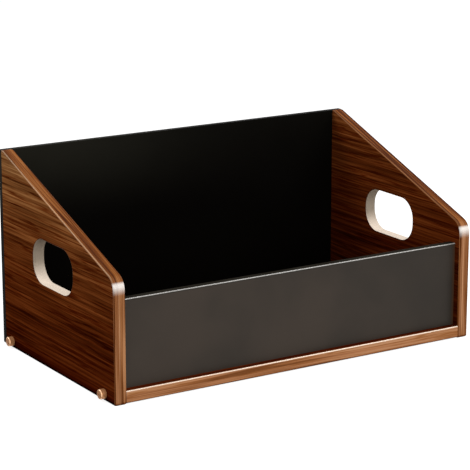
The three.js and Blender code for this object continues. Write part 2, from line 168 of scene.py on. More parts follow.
class Graph:
    """The node graph of one material or of the world."""

    def __init__(self, tree: bpy.types.NodeTree) -> None:
        """Empties a node tree and takes it over."""
        self.tree = tree
        tree.nodes.clear()

    def node(
        self,
        kind: str,
        settings: dict[str, object] | None = None,
        inputs: dict[object, object] | None = None,
    ) -> bpy.types.Node:
        """Adds one node.

        Args:
            kind: The node's type.
            settings: The node's own settings, set first. The key stops holds a ramp's (place, colour) pairs.
            inputs: Socket names or numbers, with a value, a Signal or a socket for each.

        Returns:
            The node.
        """
        node = self.tree.nodes.new(kind)
        for key, value in (settings or {}).items():
            if key == "stops":
                self._set_stops(node.color_ramp, value)
            else:
                setattr(node, key, value)
        for key, value in (inputs or {}).items():
            source = value.socket if isinstance(value, Signal) else value
            if isinstance(source, bpy.types.NodeSocket):
                self.tree.links.new(source, node.inputs[key])
            else:
                node.inputs[key].default_value = source
        return node

    @staticmethod
    def _set_stops(ramp: bpy.types.ColorRamp, stops: Sequence[tuple[float, Colour]]) -> None:
        """Gives a ramp its stops.

        Args:
            ramp: The ramp of a new node, which has two stops.
            stops: Places from 0 to 1, with a colour for each.
        """
        while len(ramp.elements) < len(stops):
            ramp.elements.new(1.0)
        for element, (place, colour) in zip(ramp.elements, stops):
            element.position = place
            element.color = (*colour, 1.0)

    def signal(self, kind: str, settings: dict[str, object], inputs: dict[object, object]) -> Signal:
        """Adds one node and wraps its first output as a number."""
        return Signal(self, self.node(kind, settings, inputs).outputs[0])

    def vector(self, operation: str, first: object, second: object) -> bpy.types.NodeSocket:
        """Adds a Vector Math node and returns its vector."""
        return self.node("ShaderNodeVectorMath", {"operation": operation}, {0: first, 1: second}).outputs[0]

    def mix(self, factor: object, first: object, second: object, blend: str = "MIX") -> bpy.types.NodeSocket:
        """Adds a colour Mix node.

        Args:
            factor: How much of the second colour shows.
            first: The first colour.
            second: The second colour.
            blend: Blender's name of the blend.

        Returns:
            The mixed colour.
        """
        return self.node(
            "ShaderNodeMix",
            {"data_type": "RGBA", "blend_type": blend},
            {0: factor, 6: self._opaque(first), 7: self._opaque(second)},
        ).outputs[2]

    @staticmethod
    def _opaque(colour: object) -> object:
        """Adds a full alpha to a plain colour and leaves a socket as it is."""
        return (*colour, 1.0) if isinstance(colour, tuple) and len(colour) == 3 else colour

    def ramp(self, position: Signal, places: Point, colours: Sequence[Colour]) -> bpy.types.NodeSocket:
        """Adds a colour ramp with a colour at each place, and returns its colour."""
        stops = tuple(zip(places, colours))
        return self.node("ShaderNodeValToRGB", {"stops": stops}, {0: position}).outputs[0]

    def object_place(self) -> bpy.types.NodeSocket:
        """The place on the stand, in metres."""
        return self.node("ShaderNodeTexCoord").outputs["Object"]

    def attribute(self, name: str) -> bpy.types.NodeSocket:
        """A vector that the mesh carries."""
        return self.node("ShaderNodeAttribute", {"attribute_name": name}).outputs["Vector"]

    def parts(self, vector: bpy.types.NodeSocket) -> tuple[Signal, Signal, Signal]:
        """The three coordinates of a vector."""
        split = self.node("ShaderNodeSeparateXYZ", {}, {0: vector})
        return tuple(Signal(self, output) for output in split.outputs)

    def tint(self, shade: Signal, powers: Pair) -> bpy.types.NodeSocket:
        """A colour to multiply by, which reddens as it darkens.

        Args:
            shade: How light it is.
            powers: The powers of the shade in green and in blue.

        Returns:
            The colour.
        """
        channels = {0: shade, 1: shade ** powers[0], 2: shade ** powers[1]}
        return self.node("ShaderNodeCombineColor", {}, channels).outputs[0]

    def bump(self, height: Signal, strength: float, depth: float) -> bpy.types.NodeSocket:
        """Adds a Bump node, whose height of 1 stands up by the depth, and returns its normal."""
        inputs = {"Height": height, "Strength": strength, "Distance": depth}
        return self.node("ShaderNodeBump", {}, inputs).outputs[0]

    def surface(self, inputs: dict[object, object]) -> None:
        """Adds a Principled shader and joins it to the material's output."""
        shader = self.node("ShaderNodeBsdfPrincipled", {}, inputs)
        self.node("ShaderNodeOutputMaterial", {}, {"Surface": shader.outputs[0]})


@dataclass(frozen=True)
class Pattern:
    """A noise that varies a finish.

    Attributes:
        cells: Cells to a metre, for all axes or for each.
        detail: How many octaves it has.
        seed: Which of many like noises it is.
        span: The noise that counts as 0 and the one that counts as 1, or none to use it as it is.
        roughness: How much each finer octave adds.
    """

    cells: float | Point
    detail: float
    seed: float
    span: Pair | None = None
    roughness: float = 0.5

    def draw(self, graph: Graph, place: bpy.types.NodeSocket) -> Signal:
        """Draws the noise.

        Args:
            graph: The material's graph.
            place: The place that it follows, in metres.

        Returns:
            The noise, mostly from 0.25 to 0.75, or from 0 to 1 over its span.
        """
        scale = (self.cells,) * 3 if isinstance(self.cells, float) else self.cells
        noise = graph.signal(
            "ShaderNodeTexNoise",
            {"noise_dimensions": "4D"},
            {
                "Vector": graph.vector("MULTIPLY", place, scale),
                "W": self.seed,
                "Scale": 1.0,
                "Detail": self.detail,
                "Roughness": self.roughness,
            },
        )
        return noise.between(*self.span) if self.span else noise


# ---- Finishes ----------------------------------------------------


@dataclass(frozen=True)
class Finish:
    """What every finish has: a name, and a graph that a subclass fills.

    In a finish, a pair of amounts is for where its pattern is 0 and where it is 1, and a pair of places is
    where a change starts and where it is full.
    """

    name: str

    def draw(self, graph: Graph) -> None:
        """Fills the material's graph. Each finish does this in its own way."""
        raise NotImplementedError

    def material(self) -> bpy.types.Material:
        """Makes the material.

        Returns:
            The finished material.
        """
        material = bpy.data.materials.new(self.name)
        material.use_nodes = True
        self.draw(Graph(material.node_tree))
        return material


@dataclass(frozen=True)
class GrainLayer:
    """A noise of the grain, in cells to a metre across it. The stretch is how much longer they are."""

    cells: float
    stretch: float
    detail: float
    seed: float
    span: Pair | None = None
    roughness: float = 0.55


@dataclass(frozen=True)
class Figure:
    """The figure of a wood-grained surface, as numbers from 0 to 1.

    Attributes:
        tone: From the darkest wood to the lightest.
        veins: 1 on the thin dark lines.
        pores: 1 in the short dark pores.
    """

    tone: Signal
    veins: Signal
    pores: Signal


@dataclass(frozen=True)
class WalnutGrain:
    """The grain that every wood-grained surface shares.

    Attributes:
        seed: What sets one board's figure apart from another's.
        direction: Which way the grain runs.
        sway: How far the grain strays to each side, by the noise called wander.
        ridges: The noise whose middle level is a vein.
        shares: How much the bands, streaks and fibres add to the tone.
        vein_width: How far from its middle level the noise is at a vein's edge.
    """

    seed: float
    direction: Grain
    sway: float = 8 * MM
    wander: GrainLayer = GrainLayer(8.0, 2.2, 2.0, 11.0, roughness=0.5)
    bands: GrainLayer = GrainLayer(40.0, 14.0, 2.0, 0.0, (0.3, 0.7))
    streaks: GrainLayer = GrainLayer(205.0, 52.0, 2.0, 3.0, (0.28, 0.72))
    fibres: GrainLayer = GrainLayer(500.0, 90.0, 1.0, 5.0, (0.25, 0.75))
    ridges: GrainLayer = GrainLayer(140.0, 42.0, 3.0, 9.0)
    pores: GrainLayer = GrainLayer(1300.0, 30.0, 1.0, 7.0, (0.6, 0.74))
    shares: Point = (0.24, 0.36, 0.40)
    vein_width: float = 0.04

    def _draw_layer(self, graph: Graph, place: bpy.types.NodeSocket, layer: GrainLayer) -> Signal:
        """Draws one layer along this surface's grain.

        Args:
            graph: The material's graph.
            place: The place that it follows.
            layer: The layer.

        Returns:
            The noise.
        """
        along = layer.cells / layer.stretch
        cells = (layer.cells, along, layer.cells)
        if self.direction is Grain.ALONG_X:
            cells = (along, layer.cells, layer.cells)
        seed = self.seed + layer.seed
        return Pattern(cells, layer.detail, seed, layer.span, layer.roughness).draw(graph, place)

    def place(self, graph: Graph) -> bpy.types.NodeSocket:
        """The place that the figure follows: on the stand, or along a band.

        Args:
            graph: The material's graph.

        Returns:
            The place, swayed a little across the grain.
        """
        start = graph.attribute(RUN) if self.direction is Grain.ALONG_BAND else graph.object_place()
        shift = (self._draw_layer(graph, start, self.wander) - 0.5) * self.sway
        across = {0: shift, 1: 0.0, 2: shift}
        if self.direction is Grain.ALONG_X:
            across = {0: 0.0, 1: shift, 2: shift}
        return graph.vector("ADD", start, graph.node("ShaderNodeCombineXYZ", {}, across).outputs[0])

    def figure(self, graph: Graph) -> Figure:
        """Draws the figure.

        Args:
            graph: The material's graph.

        Returns:
            The figure.
        """
        place = self.place(graph)
        layers = (self.bands, self.streaks, self.fibres, self.ridges, self.pores)
        bands, streaks, fibres, ridges, pores = (self._draw_layer(graph, place, layer) for layer in layers)
        band_share, streak_share, fibre_share = self.shares
        tone = bands * band_share + streaks * streak_share + fibres * fibre_share
        return Figure(tone, 1.0 - (ridges - 0.5).size().between(0.0, self.vein_width), pores)


@dataclass(frozen=True)
class WalnutLaminate(Finish):
    """Satin wood-grained laminate. On an upright panel it carries painted shade: lighter at the top, darker
    towards the floor.

    Attributes:
        tones: The tones of grain at which the deep, middle and light colours stand.
        floor_tone: The painted shade at the floor.
        top_tone: The painted shade at the top height.
        rise_power: How late the painted shade rises from the floor's to the top's.
        foot_tone: How dark a further painted shade over the lowest stretch starts, on top of that.
        toe_tone: How dark the very edge is, as a painted contact shadow.
        tint_powers: How fast green and blue fade as the wood darkens.
    """

    grain: WalnutGrain
    deep: Colour = (0.067, 0.0182, 0.0041)
    middle: Colour = (0.190, 0.062, 0.0160)
    light: Colour = (0.365, 0.151, 0.0490)
    tones: Point = (0.14, 0.5, 0.86)
    floor_tone: float = 0.42
    top_tone: float = 1.33
    top_height: float = 250 * MM
    rise_power: float = 2.1
    foot_tone: float = 0.45
    foot_height: float = 24 * MM
    toe_tone: float = 0.08
    toe_heights: Pair = (1.6 * MM, 4.5 * MM)
    pore_depth: float = 0.35
    vein_depth: float = 0.5
    tint_powers: Pair = (1.8, 2.5)
    roughness: Pair = (0.40, 0.52)
    tone_relief: float = 0.5
    pore_relief: float = 0.8

    def draw(self, graph: Graph) -> None:
        """The tone picks the colour, veins and pores darken it, and painted shade by height lightens it from
        the dark toe.

        Args:
            graph: The material's graph.
        """
        figure = self.grain.figure(graph)
        colour = graph.ramp(figure.tone, self.tones, (self.deep, self.middle, self.light))
        height = graph.parts(graph.object_place())[2]
        # Painted shade by height: lighter at the top, darker towards the floor, darkest at the very edge as
        # a painted contact shadow.
        rise = (height * (1.0 / self.top_height)).larger(0.0) ** self.rise_power
        foot = height.between(0.0, self.foot_height).blend(self.foot_tone, 1.0)
        toe = height.between(*self.toe_heights).blend(self.toe_tone, 1.0) * foot
        marks = (1.0 - figure.pores * self.pore_depth) * (1.0 - figure.veins * self.vein_depth) * toe
        shade = rise.blend(self.floor_tone, self.top_tone) * marks
        relief = figure.tone * self.tone_relief - figure.pores * self.pore_relief
        graph.surface({
            "Base Color": graph.mix(1.0, colour, graph.tint(shade, self.tint_powers), "MULTIPLY"),
            "Roughness": figure.tone.blend(*self.roughness),
            "Specular IOR Level": 0.0,
            "Normal": graph.bump(relief, strength=0.2, depth=0.1 * MM),
        })


@dataclass(frozen=True)
class WalnutBand(Finish):
    """Lighter wood-grained edge band, with painted highlight and gloss on its arrises, a painted glint round
    its corner, and painted shade where its marks say so.

    Attributes:
        tones: The tones of grain at which the deep, middle and light colours stand.
        deep_tone: The tone where the band carries full painted shade.
        deep_contrast: How much stronger its grain is there.
        toe_tone: How dark its end at the floor is, as a painted contact shadow.
        tint_powers: How fast green and blue fade as the wood darkens.
        polish_start: The painted glint at no gloss. Below 0, a faint gloss leaves the colour as it is.
    """

    grain: WalnutGrain
    deep: Colour = (0.135, 0.044, 0.0135)
    middle: Colour = (0.295, 0.118, 0.047)
    light: Colour = (0.510, 0.255, 0.130)
    tones: Point = (0.20, 0.5, 0.80)
    rub: Colour = (0.860, 0.570, 0.340)
    polish: Colour = (0.880, 0.830, 0.770)
    deep_tone: float = 0.56
    deep_contrast: float = 1.1
    toe_tone: float = 0.45
    toe_heights: Pair = (1.4 * MM, 4.2 * MM)
    vein_depth: float = 0.3
    tint_powers: Pair = (1.5, 2.5)
    polish_start: float = -0.18
    rub_amounts: Pair = (0.8, 1.0)
    polish_amounts: Pair = (0.66, 0.96)
    roughness: Pair = (0.34, 0.42)

    def draw(self, graph: Graph) -> None:
        """Streaks along the band, with painted highlight, painted glint and painted shade where its marks
        say so.

        Args:
            graph: The material's graph.
        """
        figure = self.grain.figure(graph)
        rubbed, glossy, painted_shade = graph.parts(graph.attribute(MARKS))
        # Where the band carries painted shade, its grain is also stronger.
        tone = figure.tone + (figure.tone - 0.5) * painted_shade * self.deep_contrast
        colour = graph.ramp(tone, self.tones, (self.deep, self.middle, self.light))
        height = graph.parts(graph.object_place())[2]
        # Painted contact shadow at the floor end, and painted shade where the band's marks say so.
        toe = height.between(*self.toe_heights).blend(self.toe_tone, 1.0)
        shade = painted_shade.blend(1.0, self.deep_tone) * (1.0 - figure.veins * self.vein_depth) * toe
        wood = graph.mix(1.0, colour, graph.tint(shade, self.tint_powers), "MULTIPLY")
        # Painted highlight on the arrises and along the pale line.
        with_highlight = graph.mix(rubbed * figure.tone.blend(*self.rub_amounts), wood, self.rub)
        # Painted glint where the band is glossy: round the corner, and on the base band's top arris.
        glint_share = glossy.blend(self.polish_start, 1.0).larger(0.0)
        graph.surface({
            "Base Color": graph.mix(glint_share * figure.tone.blend(*self.polish_amounts), with_highlight, self.polish),
            "Roughness": figure.tone.blend(*self.roughness),
            "Specular IOR Level": 0.02,
            "Coat Weight": glossy,
            "Coat Roughness": 0.14,
            "Normal": graph.bump(figure.tone, strength=0.12, depth=0.08 * MM),
        })


@dataclass(frozen=True)
class BlackLaminate(Finish):
    """Satin black laminate with a faint pressed texture, paler clouds, and a painted reflection of the wood
    at its ends.
    """

    base: Colour = (0.0300, 0.0245, 0.0195)
    rubbed: Colour = (0.0455, 0.0352, 0.0275)
    browned: Colour = (0.0560, 0.0250, 0.0110)
    brown_share: float = 0.8
    ends: Pair = (253.5 * MM, 259.0 * MM)
    roughness: Pair = (0.36, 0.44)
    clouds: Pattern = Pattern(9.0, 4.0, 21.0, (0.3, 0.7))
    pebble: Pattern = Pattern(2600.0, 2.0, 22.0)

    def draw(self, graph: Graph) -> None:
        """Cloudy colour and roughness over a fine pebbled bump, with a painted reflection of the wood beside
        it.

        Args:
            graph: The material's graph.
        """
        place = graph.object_place()
        # Painted reflection of the side panels' wood near the panel's ends.
        wood_reflection = graph.parts(place)[0].size().between(*self.ends) * self.brown_share
        clouds = self.clouds.draw(graph, place)
        graph.surface({
            "Base Color": graph.mix(wood_reflection, graph.mix(clouds, self.base, self.rubbed), self.browned),
            "Roughness": clouds.blend(*self.roughness),
            "Specular IOR Level": 0.10,
            "Normal": graph.bump(self.pebble.draw(graph, place), strength=0.12, depth=0.05 * MM),
        })


@dataclass(frozen=True)
class FadedBlack(Finish):
    """Deep black laminate, darker than the front panel's as painted shade, and lighter towards one upper
    corner where the painted shade eases.

    Attributes:
        far_fade: How much of the lighter corner is left at the second of its widths.
        cloud_fade: How much of it the clouds leave at least.
    """

    base: Colour = (0.0016, 0.0013, 0.0010)
    faded: Colour = (0.0130, 0.0122, 0.0090)
    heights: Pair = (150 * MM, 270 * MM)
    widths: Pair = (-240 * MM, 120 * MM)
    far_fade: float = 0.15
    cloud_fade: float = 0.7
    roughness: Pair = (0.38, 0.48)
    clouds: Pattern = Pattern(11.0, 4.0, 24.0, (0.2, 0.7))
    pebble: Pattern = Pattern(2600.0, 2.0, 25.0)

    def draw(self, graph: Graph) -> None:
        """The lighter corner follows height and width, broken by soft clouds.

        Args:
            graph: The material's graph.
        """
        place = graph.object_place()
        width, _, height = graph.parts(place)
        clouds = self.clouds.draw(graph, place)
        # Painted shade: deep black, easing towards one upper corner.
        side = width.between(*self.widths).blend(1.0, self.far_fade)
        corner_light = height.between(*self.heights) * side * clouds.blend(self.cloud_fade, 1.0)
        graph.surface({
            "Base Color": graph.mix(corner_light, self.base, self.faded),
            "Roughness": clouds.blend(*self.roughness),
            "Specular IOR Level": 0.012,
            "Normal": graph.bump(self.pebble.draw(graph, place), strength=0.12, depth=0.05 * MM),
        })


@dataclass(frozen=True)
class BlackBand(Finish):
    """Black edge band: matt on its flat, with a grey painted highlight and gloss on its arrises."""

    base: Colour = (0.0120, 0.0100, 0.0072)
    dusty: Colour = (0.0210, 0.0185, 0.0145)
    rub: Colour = (0.400, 0.385, 0.360)
    rub_amounts: Pair = (0.75, 1.0)
    roughness: Pair = (0.42, 0.52)
    dust: Pattern = Pattern((14.0, 60.0, 60.0), 4.0, 27.0, (0.3, 0.7))

    def draw(self, graph: Graph) -> None:
        """Faint dust on the flat, and a painted highlight that comes and goes along the arrises.

        Args:
            graph: The material's graph.
        """
        dust = self.dust.draw(graph, graph.object_place())
        rubbed, glossy, _ = graph.parts(graph.attribute(MARKS))
        flat = graph.mix(dust, self.base, self.dusty)
        graph.surface({
            # Painted highlight along the arrises.
            "Base Color": graph.mix(rubbed * dust.blend(*self.rub_amounts), flat, self.rub),
            "Roughness": dust.blend(*self.roughness),
            "Specular IOR Level": 0.0,
            "Coat Weight": glossy,
            "Coat Roughness": 0.18,
        })


@dataclass(frozen=True)
class CreamEdging(Finish):
    """Matt cream plastic, greyed by painted shade under the hole's top, with fine marks and a brown glued
    rim.
    """

    clean: Colour = (0.76, 0.64, 0.53)
    soiled: Colour = (0.30, 0.245, 0.185)
    glue: Colour = (0.055, 0.022, 0.009)
    soil_heights: Pair = (108 * MM, 138 * MM)
    soil_amounts: Pair = (0.8, 1.1)
    mark_depth: float = 0.35
    roughness: Pair = (0.55, 0.67)
    clouds: Pattern = Pattern(60.0, 3.0, 31.0)
    marks: Pattern = Pattern((900.0, 900.0, 70.0), 2.0, 33.0)

    def draw(self, graph: Graph) -> None:
        """Painted shade that grows with height, over fine upright marks.

        Args:
            graph: The material's graph.
        """
        place = graph.object_place()
        height = graph.parts(place)[2]
        marks = self.marks.draw(graph, place)
        glued = graph.parts(graph.attribute(MARKS))[0]
        # Painted shade under the hole's top, with the fine marks added.
        cloudy = self.clouds.draw(graph, place).blend(*self.soil_amounts)
        shade_and_marks = height.between(*self.soil_heights) * cloudy + (marks - 0.5) * self.mark_depth
        graph.surface({
            "Base Color": graph.mix(glued, graph.mix(shade_and_marks, self.clean, self.soiled), self.glue),
            "Roughness": marks.blend(*self.roughness),
            "Specular IOR Level": 0.1,
            "Normal": graph.bump(marks, strength=0.2, depth=0.06 * MM),
        })


@dataclass(frozen=True)
class PlatedMetal(Finish):
    """Plated or lacquered metal with brush marks and duller patches, with painted shade on its end and a
    painted highlight on its rim where its marks say so.

    Attributes:
        bright: The plate's colour.
        dull: The colour of its patches.
        roughness: How rough it is at least.
        gloss: Its specular level.
        dull_span: The noise at which a patch starts and is full.
    """

    bright: Colour
    dull: Colour
    roughness: float
    seed: float
    metal: float = 1.0
    gloss: float = 0.5
    bare: Colour = (0.980, 0.620, 0.380)
    brown: Colour = (0.330, 0.145, 0.055)
    brown_share: float = 0.85
    patch_roughness: float = 0.12
    dull_span: Pair = (0.35, 0.7)
    brush_cells: Point = (5000.0, 500.0, 500.0)
    patch_cells: float = 260.0

    def draw(self, graph: Graph) -> None:
        """Dulled patches and brush marks across the X axis, under the painted shade and the painted
        highlight.

        Args:
            graph: The material's graph.
        """
        place = graph.object_place()
        rim_highlight, browned, _ = graph.parts(graph.attribute(MARKS))
        brushed = Pattern(self.brush_cells, 2.0, self.seed).draw(graph, place)
        patches = Pattern(self.patch_cells, 3.0, self.seed + 1.0).draw(graph, place)
        plate = graph.mix(patches.between(*self.dull_span), self.bright, self.dull)
        # Painted shade on the bolt's end, and a painted highlight on its rim.
        plate_and_shade = graph.mix(browned * self.brown_share, plate, self.brown)
        graph.surface({
            "Base Color": graph.mix(rim_highlight, plate_and_shade, self.bare),
            "Metallic": self.metal,
            "Specular IOR Level": self.gloss,
            "Roughness": self.roughness + patches * self.patch_roughness,
            "Normal": graph.bump(brushed, strength=0.08, depth=0.05 * MM),
        })


@dataclass(frozen=True)
class RawBeech(Finish):
    """Unfinished beech of the dowels: pale wood with short dark flecks."""

    pale: Colour = (0.62, 0.42, 0.24)
    fleck: Colour = (0.36, 0.20, 0.09)
    roughness: Pair = (0.7, 0.85)
    flecks: Pattern = Pattern((180.0, 1500.0, 1500.0), 3.0, 51.0, (0.5, 0.75))

    def draw(self, graph: Graph) -> None:
        """Flecks that run along the dowel.

        Args:
            graph: The material's graph.
        """
        flecks = self.flecks.draw(graph, graph.object_place())
        graph.surface({
            "Base Color": graph.mix(flecks, self.pale, self.fleck),
            "Roughness": flecks.blend(*self.roughness),
            "Normal": graph.bump(flecks, strength=0.2, depth=0.1 * MM),
        })


@dataclass(frozen=True)
class BlackRubber(Finish):
    """Matt black rubber with a fine crumb and dust caught in it."""

    base: Colour = (0.010, 0.009, 0.009)
    dusty: Colour = (0.030, 0.028, 0.026)
    roughness: Pair = (0.75, 0.90)
    crumb: Pattern = Pattern(1800.0, 3.0, 61.0)
    dust: Pattern = Pattern(90.0, 3.0, 62.0, (0.4, 0.75))

    def draw(self, graph: Graph) -> None:
        """A crumbed bump with dusty clouds.

        Args:
            graph: The material's graph.
        """
        place = graph.object_place()
        crumb = self.crumb.draw(graph, place)
        graph.surface({
            "Base Color": graph.mix(self.dust.draw(graph, place), self.base, self.dusty),
            "Roughness": crumb.blend(*self.roughness),
            "Specular IOR Level": 0.3,
            "Normal": graph.bump(crumb, strength=0.4, depth=0.1 * MM),
        })


FINISHES: tuple[Finish, ...] = (
    WalnutLaminate("walnut_left", WalnutGrain(1.0, Grain.ALONG_Y)),
    # The right panel and the base board take the same laminate, darker as painted shade.
    WalnutLaminate("walnut_right", WalnutGrain(2.0, Grain.ALONG_Y), floor_tone=0.36, top_tone=0.72),
    WalnutLaminate("walnut_base", WalnutGrain(3.0, Grain.ALONG_X), floor_tone=0.36, top_tone=0.36),
    WalnutBand("band_left", WalnutGrain(4.0, Grain.ALONG_BAND)),
    WalnutBand("band_right", WalnutGrain(5.0, Grain.ALONG_BAND)),
    WalnutBand(
        "band_base",
        WalnutGrain(6.0, Grain.ALONG_BAND),
        deep=(0.225, 0.083, 0.029),
        middle=(0.430, 0.185, 0.080),
    ),
    BlackLaminate("black_laminate"),
    BlackBand("black_band"),
    FadedBlack("black_back"),
    CreamEdging("cream_edging"),
    PlatedMetal(
        "copper_lacquer", (0.570, 0.270, 0.120), (0.440, 0.200, 0.082), 0.26, 41.0, metal=0.40, gloss=0.06
    ),
    PlatedMetal("zinc_plate", (0.62, 0.63, 0.64), (0.45, 0.46, 0.47), 0.3, 42.0),
    PlatedMetal("black_steel", (0.06, 0.06, 0.06), (0.03, 0.03, 0.03), 0.34, 43.0),
    RawBeech("raw_beech"),
    BlackRubber("black_rubber"),
)


# ---- Mesh making -------------------------------------------------


class MeshDraft:
    """Vertices, faces and vertex attributes of one piece, before it becomes an object."""

    def __init__(self) -> None:
        """Starts with nothing."""
        self.points: list[Point] = []
        self.faces: list[tuple[int, ...]] = []
        self.run: list[Point] = []
        self.marks: list[Point] = []

    def _add_ring(self, ring: Sequence[Point]) -> list[int]:
        """Adds the points of a closed ring and returns their numbers."""
        self.points.extend(ring)
        return list(range(len(self.points) - len(ring), len(self.points)))

    def _join(self, first: Sequence[int], second: Sequence[int]) -> None:
        """Joins two rings of as many points with a belt of quads.

        Args:
            first: The numbers of one ring's points.
            second: The numbers of the other's.
        """
        for index in range(len(first)):
            after = (index + 1) % len(first)
            self.faces.append((first[index], first[after], second[after], second[index]))

    def loft(self, rings: Sequence[Sequence[Point]], closed: bool = False) -> None:
        """Joins a row of rings into a solid.

        Args:
            rings: The rings, each with as many points.
            closed: True where the last ring joins the first, so that no caps are needed.
        """
        numbers = [self._add_ring(ring) for ring in rings]
        for before, after in zip(numbers, numbers[1:]):
            self._join(before, after)
        if closed:
            self._join(numbers[-1], numbers[0])
        else:
            self.faces.append(tuple(reversed(numbers[0])))
            self.faces.append(tuple(numbers[-1]))

    def to_object(self, name: str) -> bpy.types.Object:
        """Makes the object, with close points welded and its faces turned outward.

        Args:
            name: The object's name.

        Returns:
            The object, at the origin and in the scene.
        """
        mesh = bpy.data.meshes.new(name)
        mesh.from_pydata(self.points, [], self.faces)
        for label, values in ((RUN, self.run), (MARKS, self.marks)):
            if values:
                layer = mesh.attributes.new(label, "FLOAT_VECTOR", "POINT")
                layer.data.foreach_set("vector", [number for value in values for number in value])
        mesh.validate()
        work = bmesh.new()
        work.from_mesh(mesh)
        bmesh.ops.remove_doubles(work, verts=work.verts, dist=1e-7)
        bmesh.ops.recalc_face_normals(work, faces=work.faces)
        work.to_mesh(mesh)
        work.free()
        piece = bpy.data.objects.new(name, mesh)
        bpy.context.scene.collection.objects.link(piece)
        return piece


def arc(centre: Pair, radius: float, start: float, end: float, steps: int) -> list[Pair]:
    """Points along an arc, both ends included.

    Args:
        centre: The arc's centre.
        radius: Its radius.
        start: The first point's angle, in radians.
        end: The last point's angle.
        steps: How many chords it has.

    Returns:
        The points.
    """
    angles = [start + (end - start) * step / steps for step in range(steps + 1)]
    return [(centre[0] + radius * math.cos(a), centre[1] + radius * math.sin(a)) for a in angles]


def rounded_rectangle(low: Pair, high: Pair, radius: float, steps: int) -> list[Pair]:
    """The outline of a rectangle with round corners.

    Args:
        low: Its lowest corner.
        high: Its highest corner.
        radius: The radius of its corners.
        steps: How many chords each has.

    Returns:
        The points, once round.
    """
    left, right = low[0] + radius, high[0] - radius
    near, far = low[1] + radius, high[1] - radius
    outline = []
    for quarter, corner in enumerate(((right, near), (right, far), (left, far), (left, near))):
        start = (quarter - 1) * math.pi / 2
        outline.extend(arc(corner, radius, start, start + math.pi / 2, steps))
    return outline


def turned(profile: Sequence[Pair], sides: int, name: str) -> bpy.types.Object:
    """Turns a profile about the Z axis into a closed solid.

    Args:
        profile: Radius and height pairs from one end's rim to the other's.
        sides: How many facets go round.
        name: The object's name.

    Returns:
        The solid.
    """
    draft = MeshDraft()
    angles = [2 * math.pi * index / sides for index in range(sides)]
    draft.loft([[(r * math.cos(a), r * math.sin(a), z) for a in angles] for r, z in profile])
    return draft.to_object(name)


def block(size: Point, height: float, angle: float) -> bpy.types.Object:
    """A plain cutting block.

    Args:
        size: Its three sides.
        height: How high on the Z axis its centre is.
        angle: How far it is turned about that axis, in radians.

    Returns:
        The block.
    """
    half = [side / 2 for side in size]
    turn = Matrix.Rotation(angle, 4, "Z")
    rings = []
    for level in (height - half[2], height + half[2]):
        corners = [(-half[0], -half[1]), (half[0], -half[1]), (half[0], half[1]), (-half[0], half[1])]
        rings.append([tuple(turn @ Vector((x, y, level))) for x, y in corners])
    draft = MeshDraft()
    draft.loft(rings)
    return draft.to_object("cutter")


def apply_modifiers(piece: bpy.types.Object) -> None:
    """Works a piece's modifiers into its mesh.

    Args:
        piece: The piece.
    """
    depsgraph = bpy.context.evaluated_depsgraph_get()
    mesh = bpy.data.meshes.new_from_object(piece.evaluated_get(depsgraph))
    piece.modifiers.clear()
    piece.data = mesh


def cut_away(piece: bpy.types.Object, cutters: Sequence[bpy.types.Object]) -> None:
    """Cuts blocks out of a piece and removes the blocks.

    Args:
        piece: The piece to cut.
        cutters: The cutting solids.
    """
    for cutter in cutters:
        cut = piece.modifiers.new("cut", "BOOLEAN")
        cut.operation = "DIFFERENCE"
        cut.solver = "EXACT"
        cut.object = cutter
    apply_modifiers(piece)
    for cutter in cutters:
        bpy.data.objects.remove(cutter)


def ease(piece: bpy.types.Object, width: float, segments: int, angle: float) -> bpy.types.Modifier:
    """Adds a modifier that rounds a piece's arrises.

    Args:
        piece: The piece.
        width: How wide each rounding is.
        segments: How many facets it has.
        angle: Edges sharper than this are rounded, in degrees.

    Returns:
        The modifier.
    """
    easing = piece.modifiers.new("eased_arrises", "BEVEL")
    easing.width = width
    easing.segments = segments
    easing.limit_method = "ANGLE"
    easing.angle_limit = math.radians(angle)
    return easing


def dress_node(node: str, material: bpy.types.Material, arris: float = 0.0) -> None:
    """Gives a CAD node its finish, and eases its arrises with a modifier.

    Args:
        node: The node's name.
        material: Its finish.
        arris: The width of the eased arris, in metres, or 0 for none.
    """
    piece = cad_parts[node]
    piece.data.materials.clear()
    piece.data.materials.append(material)
    if arris:
        ease(piece, arris, segments=3, angle=60.0).harden_normals = True
    LOG.info("dressed %s", node)


def settle(
    piece: bpy.types.Object, node: str, material: bpy.types.Material, angle: float = 35.0
) -> bpy.types.Object:
    """Gives a new piece its finish and its body, and hides the CAD node that it stands for.

    Its round stretches are smoothed and its flat faces stay flat.

    Args:
        piece: The piece, in place.
        node: The CAD node that it replaces.
        material: Its finish.
        angle: Edges sharper than this stay sharp, in degrees.

    Returns:
        The piece.
    """
    piece.data.shade_smooth()
    piece.data.set_sharp_from_angle(angle=math.radians(angle))
    weighted = piece.modifiers.new("flat_faces", "WEIGHTED_NORMAL")
    weighted.keep_sharp = True
    piece.data.materials.clear()
    piece.data.materials.append(material)
    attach(piece, BODY)
    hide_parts(node)
    LOG.info("made %s for %s", piece.name, node)
    return piece


# ---- The stand's sub-assemblies ----------------------------------


@dataclass(frozen=True)
class BandWear:
    """What differs between the edge bands of the two side panels.

    Attributes:
        streak: How far a pale line of painted highlight down the band's front lies from the outer face.
        slope_rub: How much painted highlight the slope's left arris has.
        slope_lift: How much less painted shade that arris has than the rest of the slope, before its painted
            highlight.
        shadow: How much painted shadow falls on a strip inside the outer arris on the slope.
    """

    streak: float
    slope_rub: float
    slope_lift: float
    shadow: float


WEAR = {
    Side.LEFT: BandWear(streak=7.3 * MM, slope_rub=0.34, slope_lift=0.0, shadow=0.0),
    Side.RIGHT: BandWear(streak=12.6 * MM, slope_rub=0.06, slope_lift=0.75, shadow=2.0),
}


